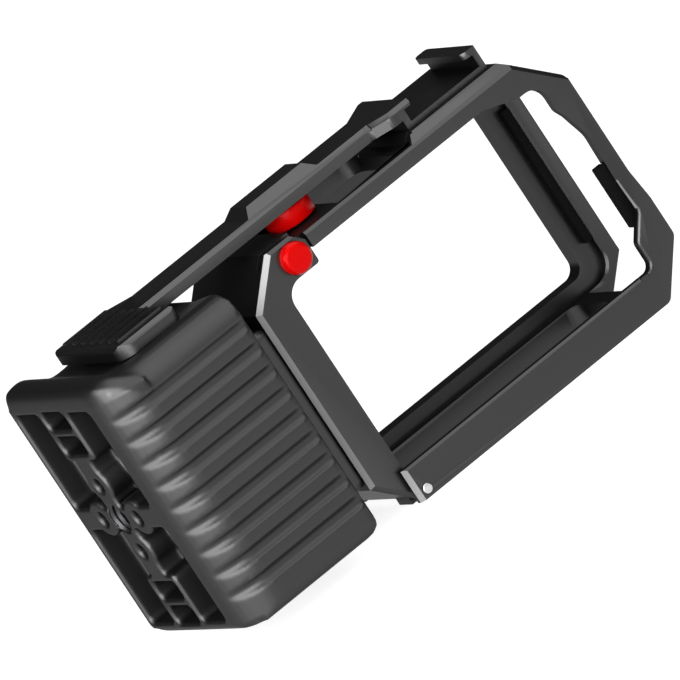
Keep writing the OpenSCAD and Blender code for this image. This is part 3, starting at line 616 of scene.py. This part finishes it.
def grain_group():
    """Fine grain: a height for a bump and a small change of roughness."""
    if "Fine grain" in bpy.data.node_groups:
        return bpy.data.node_groups["Fine grain"]
    group, entry, result = socket_group(
        "Fine grain",
        [("Scale", "NodeSocketFloat", 2500.0), ("Base roughness", "NodeSocketFloat", 0.5),
         ("Change", "NodeSocketFloat", 0.08)],
        [("Height", "NodeSocketFloat"), ("Roughness", "NodeSocketFloat")])
    place = group.nodes.new("ShaderNodeTexCoord")
    noise = group.nodes.new("ShaderNodeTexNoise")
    noise.inputs["Detail"].default_value = GRAIN_DETAIL
    group.links.new(place.outputs["Object"], noise.inputs["Vector"])
    group.links.new(entry.outputs["Scale"], noise.inputs["Scale"])
    centred = maths(group, "SUBTRACT", noise.outputs["Fac"], 0.5)
    roughness = maths(group, "MULTIPLY_ADD", centred, entry.outputs["Change"],
                      entry.outputs["Base roughness"])
    group.links.new(noise.outputs["Fac"], result.inputs["Height"])
    group.links.new(roughness, result.inputs["Roughness"])
    return group


def edge_wear_and_light_group():
    """Edge wear and painted light: the base colour, lighter where an edge stands out, as wear
    and as a painted highlight, and with painted shade dark in crevices.
    """
    if "Edge wear" in bpy.data.node_groups:
        return bpy.data.node_groups["Edge wear"]
    group, entry, result = socket_group(
        "Edge wear",
        [("Base", "NodeSocketColor", (0.05, 0.05, 0.05, 1.0)),
         ("Worn", "NodeSocketColor", (0.2, 0.2, 0.2, 1.0)),
         ("Amount", "NodeSocketFloat", 0.4), ("Crevice", "NodeSocketFloat", 0.0)],
        [("Color", "NodeSocketColor")])
    around = group.nodes.new("ShaderNodeNewGeometry").outputs["Pointiness"]
    # Edge wear and a painted highlight: lighter where an edge stands out
    wear_sheen_share = maths(group, "MULTIPLY", spread(group, around, WEAR_AND_SHEEN_RANGE),
                 entry.outputs["Amount"])
    # Painted shade: darker in crevices
    shade_share = maths(group, "MULTIPLY", spread(group, around, CREVICE_SHADE_RANGE),
                 entry.outputs["Crevice"])
    worn_and_lit = mixed(group, wear_sheen_share, entry.outputs["Base"], entry.outputs["Worn"])
    group.links.new(mixed(group, shade_share, worn_and_lit, CREVICE_SHADE_COLOUR), result.inputs["Color"])
    return group


def finish(name, colour, roughness, metallic=0.0, specular=0.5, grain=2500.0, depth=0.01,
           change=0.08, wear_and_sheen=0.0, worn_and_lit=(0.3, 0.3, 0.3), crevice_shade=0.0, tint=(1.0, 1.0, 1.0)):
    """A finish with fine grain, and with edge wear, a painted edge highlight and painted
    crevice shade where the wear is above nothing.
    """
    material = bpy.data.materials.new(name)
    material.use_nodes = True
    material.diffuse_color = (*colour, 1.0)
    nodes, links = material.node_tree.nodes, material.node_tree.links
    shader = nodes["Principled BSDF"]
    shader.inputs["Base Color"].default_value = (*colour, 1.0)
    shader.inputs["Metallic"].default_value = metallic
    shader.inputs["Specular IOR Level"].default_value = specular
    shader.inputs["Specular Tint"].default_value = (*tint, 1.0)
    grain_node = nodes.new("ShaderNodeGroup")
    grain_node.node_tree = grain_group()
    grain_node.inputs["Scale"].default_value = grain
    grain_node.inputs["Base roughness"].default_value = roughness
    grain_node.inputs["Change"].default_value = change
    links.new(grain_node.outputs["Roughness"], shader.inputs["Roughness"])
    bump = nodes.new("ShaderNodeBump")
    bump.inputs["Strength"].default_value = GRAIN_STRENGTH
    bump.inputs["Distance"].default_value = depth * MM
    links.new(grain_node.outputs["Height"], bump.inputs["Height"])
    links.new(bump.outputs["Normal"], shader.inputs["Normal"])
    # Edge wear with a painted highlight on edges, and painted shade in crevices
    if wear_and_sheen > 0.0:
        edge = nodes.new("ShaderNodeGroup")
        edge.node_tree = edge_wear_and_light_group()
        edge.inputs["Base"].default_value = (*colour, 1.0)
        edge.inputs["Worn"].default_value = (*worn_and_lit, 1.0)
        edge.inputs["Amount"].default_value = wear_and_sheen
        edge.inputs["Crevice"].default_value = crevice_shade
        links.new(edge.outputs["Color"], shader.inputs["Base Color"])
    return material


def cage_finishes():
    """The finishes of the cage, made once."""
    settings = bpy.context.scene.cage_finish
    shade, grip = settings.frame_shade, settings.grip_shade
    wanted = {
        # The frame's edges are lighter: partly wear, partly a painted highlight
        "Anodised frame": dict(colour=(shade, shade, shade * 1.01), roughness=0.36,
                               metallic=1.0, tint=(0.5, 0.5, 0.5), wear_and_sheen=0.35,
                               worn_and_lit=(0.10, 0.10, 0.10)),
        # The grip gets painted shade in its crevices, and lighter edges as wear and as a
        # painted highlight
        "Moulded grip": dict(colour=(grip, grip, grip * 1.01), roughness=0.42,
                             metallic=1.0, tint=(0.5, 0.5, 0.5), grain=1400.0, depth=0.015,
                             wear_and_sheen=0.3, worn_and_lit=(0.09, 0.09, 0.09), crevice_shade=0.9),
        "Red anodised": dict(colour=tuple(settings.accent), roughness=0.24, specular=0.2,
                             tint=(1.0, 0.2, 0.2), change=0.05),
        "Dark steel": dict(colour=(0.042, 0.042, 0.045), roughness=0.40, metallic=1.0,
                           change=0.10),
        # A lighter material that paints a highlight on chamfer faces
        "Cut edge": dict(colour=(0.19, 0.19, 0.193), roughness=0.35, specular=0.5,
                         grain=3000.0, change=0.10),
        "Turned steel": dict(colour=(0.56, 0.56, 0.57), roughness=0.30, metallic=1.0,
                             change=0.12),
        "Black rubber": dict(colour=(0.003, 0.003, 0.003), roughness=0.85, specular=0.02,
                             grain=1600.0, depth=0.02),
    }
    made = {}
    for name, values in wanted.items():
        made[name] = bpy.data.materials.get(name) or finish(name, **values)
    return made


# Pieces


class CAGE_OT_grip(bpy.types.Operator):
    """Dresses the moulded grip"""
    bl_idname = "cage.grip"
    bl_label = "Grip"

    def execute(self, context):
        settings = context.scene.cage_finish
        body = copy_of_node("grip_body", "grip_shell")
        round_edges(body, lambda edge: in_plane(edge, 0, 0.0) and
                    from_axis(middle_of(edge)) > BUSH_RIM, settings.pocket_round)
        soften(body, settings.grip_voxel, settings.grip_soften)
        ease_place(body, "Outer rim",
                   lambda point: point.x < RIM_REACH and
                   (abs(point.z) > RIM_TOP or point.y > RIM_BACK), settings.rim_soften)
        ease_place(body, "Lip", lambda point: point.x < LIP_REACH and point.z > RIM_TOP,
                   settings.rim_soften)
        hand_over(body, cage_finishes()["Moulded grip"], "frame", "grip", "grip_body")
        return {"FINISHED"}


class CAGE_OT_bush(bpy.types.Operator):
    """Turns the threaded bush in the grip's end face, with its 1/4 inch thread"""
    bl_idname = "cage.bush"
    bl_label = "Threaded bush"

    def execute(self, context):
        low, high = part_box("thread_insert")
        outer, start, end = high[1], low[0], high[0]
        mouth = THREAD_ROOT + MOUTH_SLACK
        bush = bar("thread_bush", "X", (0.0, 0.0, 0.0), outer, start, end)
        cut_away(bush, bar("bore", "X", (0.0, 0.0, 0.0), THREAD_ROOT, start - MM, end + MM))
        round_edges(bush, lambda edge: in_plane(edge, 0, start) and
                    from_axis(edge.verts[0].co) < mouth, BEVEL["bush mouth"], segments=1)
        round_edges(bush, lambda edge: in_plane(edge, 0, start) and
                    from_axis(edge.verts[0].co) > mouth + RIM_CLEAR, BEVEL["bush rim"])
        turns = int((end - start - THREAD_ENDS) / THREAD_PITCH)
        foot = THREAD_ROOT + FOOT_SINK
        ridge = swept("thread", [(foot, 0.0), (foot, THREAD_PITCH * RIDGE_FOOT),
                                 (THREAD_CREST, THREAD_PITCH * CREST_END),
                                 (THREAD_CREST, THREAD_PITCH * CREST_START)],
                      turns, turns * THREAD_PITCH, THREAD_STEPS)
        stand(ridge, "X", (start + THREAD_START, 0.0, 0.0))
        join(bush, ridge)
        smooth(bush)
        hand_over(bush, cage_finishes()["Dark steel"], "frame", "frame", "thread_insert")
        return {"FINISHED"}


class CAGE_OT_fasteners(bpy.types.Operator):
    """Makes the bolts, screws and dowels that hold the cage together"""
    bl_idname = "cage.fasteners"
    bl_label = "Bolts and dowels"

    def execute(self, context):
        steel = cage_finishes()["Turned steel"]
        low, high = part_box("grip_bolts")
        bolts = []
        for side in (-1, 1):
            centre = (0.0, 0.0, side * (high[2] - HEAD_RADIUS))
            head = bar("head", "X", centre, HEAD_RADIUS, high[0] - HEAD_DEEP, high[0])
            shank = bar("shank", "X", centre, BOLT_SHANK, low[0],
                        high[0] - HEAD_DEEP * SHANK_START)
            round_edges(head, lambda edge: in_plane(edge, 0, high[0]), BEVEL["bolt head"])
            round_edges(shank, lambda edge: in_plane(edge, 0, low[0]), BEVEL["bolt tip"],
                        segments=1)
            cut_away(head, bar("socket", "X", centre, BOLT_SOCKET,
                               high[0] - BOLT_SOCKET_DEEP, high[0] + MM, sides=HEXAGON))
            bolts += [head, shank]
        piece = join(*bolts)
        piece.name = "cap_bolts"
        smooth(piece)
        hand_over(piece, steel, "frame", "steel", "grip_bolts")

        low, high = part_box("arm_screws")
        radius = (high[0] - low[0]) / 2
        screws = []
        for y in (low[1] + radius, high[1] - radius):
            centre = (low[0] + radius, y, 0.0)
            head = bar("head", "Z", centre, radius, low[2], low[2] + SCREW_HEAD)
            shank = bar("shank", "Z", centre, SCREW_SHANK,
                        low[2] + SCREW_HEAD * SHANK_START, high[2])
            round_edges(head, lambda edge: in_plane(edge, 2, low[2]), BEVEL["screw"])
            round_edges(shank, lambda edge: in_plane(edge, 2, high[2]), BEVEL["screw"],
                        segments=1)
            cut_away(head, bar("socket", "Z", centre, SCREW_SOCKET, low[2] - MM,
                               low[2] + SCREW_SOCKET_DEEP, sides=HEXAGON))
            screws += [head, shank]
        piece = join(*screws)
        piece.name = "arm_screw_pair"
        smooth(piece)
        hand_over(piece, steel, "frame", "steel", "arm_screws")

        piece = copy_of_node("root_dowels", "dowel_pair")
        round_edges(piece, steep, BEVEL["dowel"], segments=2)
        smooth(piece)
        hand_over(piece, steel, "frame", "steel", "root_dowels")
        return {"FINISHED"}


class CAGE_OT_button(bpy.types.Operator):
    """Makes the release button with its stem, coil spring and clip"""
    bl_idname = "cage.button"
    bl_label = "Release button"

    def execute(self, context):
        finishes = cage_finishes()
        low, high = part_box("release_button")
        x, z = (low[0] + high[0]) / 2, (low[2] + high[2]) / 2
        cap = bar("push_button", "Y", (x, 0.0, z), (high[0] - low[0]) / 2, low[1], high[1],
                  sides=BUTTON_SIDES)
        round_edges(cap, lambda edge: in_plane(edge, 1, low[1]),
                    context.scene.cage_finish.button_round, segments=8)
        round_edges(cap, lambda edge: in_plane(edge, 1, high[1]), BEVEL["cap back"],
                    segments=1)
        smooth(cap, ROUND_SHADING)
        hand_over(cap, finishes["Red anodised"], "button", "red", "release_button")

        stem = copy_of_node("button_stem", "push_stem")
        round_edges(stem, steep, BEVEL["stem"], segments=2)
        smooth(stem)
        hand_over(stem, finishes["Turned steel"], "button", "steel", "button_stem")

        low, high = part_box("button_spring")
        middle = (high[0] - low[0]) / 2 - SPRING_WIRE
        angles = [2 * math.pi * k / WIRE_SIDES for k in range(WIRE_SIDES)]
        ring = [(middle + SPRING_WIRE * math.cos(angle), SPRING_WIRE * math.sin(angle))
                for angle in angles]
        rise = high[1] - low[1] - 2 * SPRING_WIRE
        coil = swept("push_spring", ring, SPRING_TURNS, rise, COIL_STEPS * SPRING_TURNS)
        stand(coil, "Y", (x, low[1] + SPRING_WIRE, z))
        smooth(coil, WIRE_SHADING)
        hand_over(coil, finishes["Turned steel"], "button", "steel", "button_spring")
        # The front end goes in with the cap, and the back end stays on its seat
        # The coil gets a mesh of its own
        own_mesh(coil)

        open_ring("button_clip", "keeper_ring", "button", STEM_CLIP)
        return {"FINISHED"}


class CAGE_OT_pin(bpy.types.Operator):
    """Turns the hinge pin and bends its clip"""
    bl_idname = "cage.pin"
    bl_label = "Hinge pin"

    def execute(self, context):
        piece = copy_of_node("hinge_pin", "door_pin")
        round_edges(piece, steep, BEVEL["pin"])
        smooth(piece)
        hand_over(piece, cage_finishes()["Turned steel"], "frame", "steel", "hinge_pin")
        open_ring("pin_clip", "pin_keeper", "frame", PIN_CLIP)
        return {"FINISHED"}


class CAGE_OT_wheel(bpy.types.Operator):
    """Makes the lock wheel with its stud, washer and nut"""
    bl_idname = "cage.wheel"
    bl_label = "Lock wheel"

    def execute(self, context):
        finishes = cage_finishes()
        low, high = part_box("lock_wheel")
        x, y = (low[0] + high[0]) / 2, (low[1] + high[1]) / 2
        radius = (high[0] - low[0]) / 2
        wheel = bar("clamp_wheel", "Z", (x, y, 0.0), radius, low[2], high[2],
                    sides=WHEEL_SIDES)
        cut_away(wheel, bar("bore", "Z", (x, y, 0.0), WHEEL_BORE, low[2] - MM, high[2] + MM))
        for place in (low[2], high[2]):
            round_edges(wheel, lambda edge: in_plane(edge, 2, place), BEVEL["wheel"])
        smooth(wheel, ROUND_SHADING)
        hand_over(wheel, finishes["Red anodised"], "wheel", "red", "lock_wheel")

        low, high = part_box("wheel_stud")
        stud = bar("clamp_stud", "Z", (x, y, 0.0), (high[0] - low[0]) / 2, low[2], high[2])
        for place in (low[2], high[2]):
            round_edges(stud, lambda edge: in_plane(edge, 2, place), BEVEL["stud"],
                        segments=2)
        cut_away(stud, bar("socket", "Z", (x, y, 0.0), STUD_SOCKET,
                           high[2] - STUD_SOCKET_DEEP, high[2] + MM, sides=HEXAGON))
        smooth(stud)
        hand_over(stud, finishes["Turned steel"], "frame", "steel", "wheel_stud")

        for node, name in (("wheel_washer", "stud_washer"), ("wheel_nut", "stud_nut")):
            piece = copy_of_node(node, name)
            round_edges(piece, steep, BEVEL["nut"], segments=2)
            smooth(piece)
            hand_over(piece, finishes["Turned steel"], "frame", "steel", node)
        return {"FINISHED"}


class CAGE_OT_pads(bpy.types.Operator):
    """Makes the rubber pads that hold the camera"""
    bl_idname = "cage.pads"
    bl_label = "Rubber pads"

    def execute(self, context):
        rubber = cage_finishes()["Black rubber"]
        for node, name, body in (("back_pad", "seat_strip", "frame"),
                                 ("left_pad", "side_cushion", "frame"),
                                 ("front_pad", "door_strip", "door")):
            piece = copy_of_node(node, name)
            round_edges(piece, steep, context.scene.cage_finish.pad_round)
            smooth(piece, ROUND_SHADING)
            hand_over(piece, rubber, body, "rubber", node)
        return {"FINISHED"}


class CAGE_OT_frame(bpy.types.Operator):
    """Dresses the machined frame and the block between it and the grip"""
    bl_idname = "cage.frame"
    bl_label = "Main frame"

    def execute(self, context):
        finishes = cage_finishes()
        settings = context.scene.cage_finish
        for node, name in (("main_frame", "cage_frame"), ("root_block", "grip_root")):
            piece = copy_of_node(node, name)
            if node == "main_frame":
                round_edges(piece, lambda edge: in_plane(edge, 1, SEAT_FRONT),
                            settings.seat_bevel, segments=1)
            fine_bevel(piece, settings.edge_round)
            smooth(piece)
            flat_faces(piece)
            hand_over(piece, finishes["Anodised frame"], "frame", "frame", node)
            # Painted highlight on the post's left chamfer faces
            paint_edge_highlight(piece, post_highlight_face)
        return {"FINISHED"}


class CAGE_OT_arm(bpy.types.Operator):
    """Dresses the top arm with its thumb rest and cold shoe"""
    bl_idname = "cage.arm"
    bl_label = "Top arm"

    def execute(self, context):
        piece = copy_of_node("top_arm", "thumb_arm")
        fine_bevel(piece, context.scene.cage_finish.edge_round * FINER)
        smooth(piece)
        flat_faces(piece)
        hand_over(piece, cage_finishes()["Anodised frame"], "frame", "frame", "top_arm")
        return {"FINISHED"}


class CAGE_OT_door(bpy.types.Operator):
    """Dresses the front frame that swings open"""
    bl_idname = "cage.door"
    bl_label = "Front frame"

    def execute(self, context):
        settings = context.scene.cage_finish
        piece = copy_of_node("front_frame", "swing_frame")
        round_edges(piece, window_rim, settings.window_round, segments=4)
        fine_bevel(piece, settings.edge_round * FINER)
        smooth(piece)
        flat_faces(piece)
        hand_over(piece, cage_finishes()["Anodised frame"], "door", "door", "front_frame")
        # Painted highlight on the sill's left chamfer faces
        paint_edge_highlight(piece, post_highlight_face)
        return {"FINISHED"}


class CAGE_OT_packed(bpy.types.Operator):
    """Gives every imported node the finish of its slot"""
    bl_idname = "cage.packed"
    bl_label = "Packed nodes"

    def execute(self, context):
        finishes = cage_finishes()
        for part in frame["record"]["subparts"]:
            node = frame["nodes"][part["node"]]
            node.data.materials.clear()
            node.data.materials.append(finishes[SLOT_FINISHES[part["material_slot"]]])
        return {"FINISHED"}


# Stage


def area_light(name, direction, distance, size, power):
    """A rectangular light that faces the cage and stays out of the picture."""
    lamp = bpy.data.lights.new(name, "AREA")
    lamp.shape = "RECTANGLE"
    lamp.size, lamp.size_y = size
    lamp.energy = power
    holder = bpy.data.objects.new(name, lamp)
    bpy.context.collection.objects.link(holder)
    away = Vector(direction).normalized()
    holder.location = VIEW_TARGET + away * distance
    holder.rotation_euler = away.to_track_quat("Z", "Y").to_euler()
    holder.visible_camera = False


class CAGE_OT_stage(bpy.types.Operator):
    """Sets the floor, the lights and the camera at the photograph's angle"""
    bl_idname = "cage.stage"
    bl_label = "Stage"

    def execute(self, context):
        stage = context.scene.cage_stage
        low = CAD_BOUNDS[0][2]
        deselect_all()
        bpy.ops.mesh.primitive_plane_add(
            size=stage.floor_size, location=(FLOOR_X, 0.0, low - FLOOR_GAP))
        floor = context.active_object
        floor.name = "floor"
        settle(floor)
        pale = bpy.data.materials.new("Pale floor")
        pale.use_nodes = True
        tree = pale.node_tree
        shader = tree.nodes["Principled BSDF"]
        tone = stage.floor_shade
        shader.inputs["Base Color"].default_value = (tone, tone, tone, 1.0)
        shader.inputs["Roughness"].default_value = 0.9
        shader.inputs["Specular IOR Level"].default_value = 0.1
        shader.inputs["Emission Color"].default_value = (1.0, 1.0, 1.0, 1.0)
        shader.inputs["Emission Strength"].default_value = stage.floor_glow
        # From below, the floor lets the cage's underside be seen
        facing = tree.nodes.new("ShaderNodeNewGeometry")
        shown = maths(tree, "SUBTRACT", 1.0, facing.outputs["Backfacing"])
        tree.links.new(shown, shader.inputs["Alpha"])
        floor.data.materials.append(pale)

        for name, direction, distance, size, power in LIGHTS:
            area_light(name, direction, distance, size, getattr(stage, power))
        world = bpy.data.worlds.new("Even sky")
        world.use_nodes = True
        sky = world.node_tree.nodes["Background"]
        sky.inputs["Color"].default_value = (1.0, 1.0, 1.0, 1.0)
        sky.inputs["Strength"].default_value = stage.sky
        context.scene.world = world

        lens = bpy.data.cameras.new("Camera")
        lens.sensor_width = SENSOR
        lens.lens = stage.lens
        lens.clip_end = CLIP_END
        camera = bpy.data.objects.new("Camera", lens)
        context.collection.objects.link(camera)
        distance = FRAME_WIDTH * stage.lens / SENSOR
        turn = Matrix((VIEW_RIGHT, VIEW_UP, VIEW_BACK)).transposed().to_4x4()
        camera.matrix_world = Matrix.Translation(VIEW_TARGET + VIEW_BACK * distance) @ turn
        context.scene.camera = camera
        context.scene.view_settings.view_transform = "Standard"
        return {"FINISHED"}


STEPS = (CAGE_OT_packed, CAGE_OT_grip, CAGE_OT_bush, CAGE_OT_fasteners, CAGE_OT_button,
         CAGE_OT_pin, CAGE_OT_wheel, CAGE_OT_pads, CAGE_OT_frame, CAGE_OT_arm, CAGE_OT_door,
         CAGE_OT_stage)


class CAGE_PT_panel(bpy.types.Panel):
    """Lists the steps that dress the cage"""
    bl_label = "Camera cage"
    bl_idname = "CAGE_PT_panel"
    bl_space_type = "VIEW_3D"
    bl_region_type = "UI"
    bl_category = "Camera cage"

    def draw(self, context):
        for step in STEPS:
            self.layout.operator(step.bl_idname)


CLASSES = (CAGE_PG_finish, CAGE_PG_stage, *STEPS, CAGE_PT_panel)


def register():
    for cls in CLASSES:
        bpy.utils.register_class(cls)
    bpy.types.Scene.cage_finish = bpy.props.PointerProperty(type=CAGE_PG_finish)
    bpy.types.Scene.cage_stage = bpy.props.PointerProperty(type=CAGE_PG_stage)


def unregister():
    del bpy.types.Scene.cage_stage
    del bpy.types.Scene.cage_finish
    for cls in reversed(CLASSES):
        bpy.utils.unregister_class(cls)


def main():
    register()
    bpy.ops.cage.packed()
    bpy.ops.cage.grip()
    bpy.ops.cage.bush()
    bpy.ops.cage.fasteners()
    bpy.ops.cage.button()
    bpy.ops.cage.pin()
    bpy.ops.cage.wheel()
    bpy.ops.cage.pads()
    bpy.ops.cage.frame()
    bpy.ops.cage.arm()
    bpy.ops.cage.door()
    bpy.ops.cage.stage()


if __name__ == "__main__":
    main()
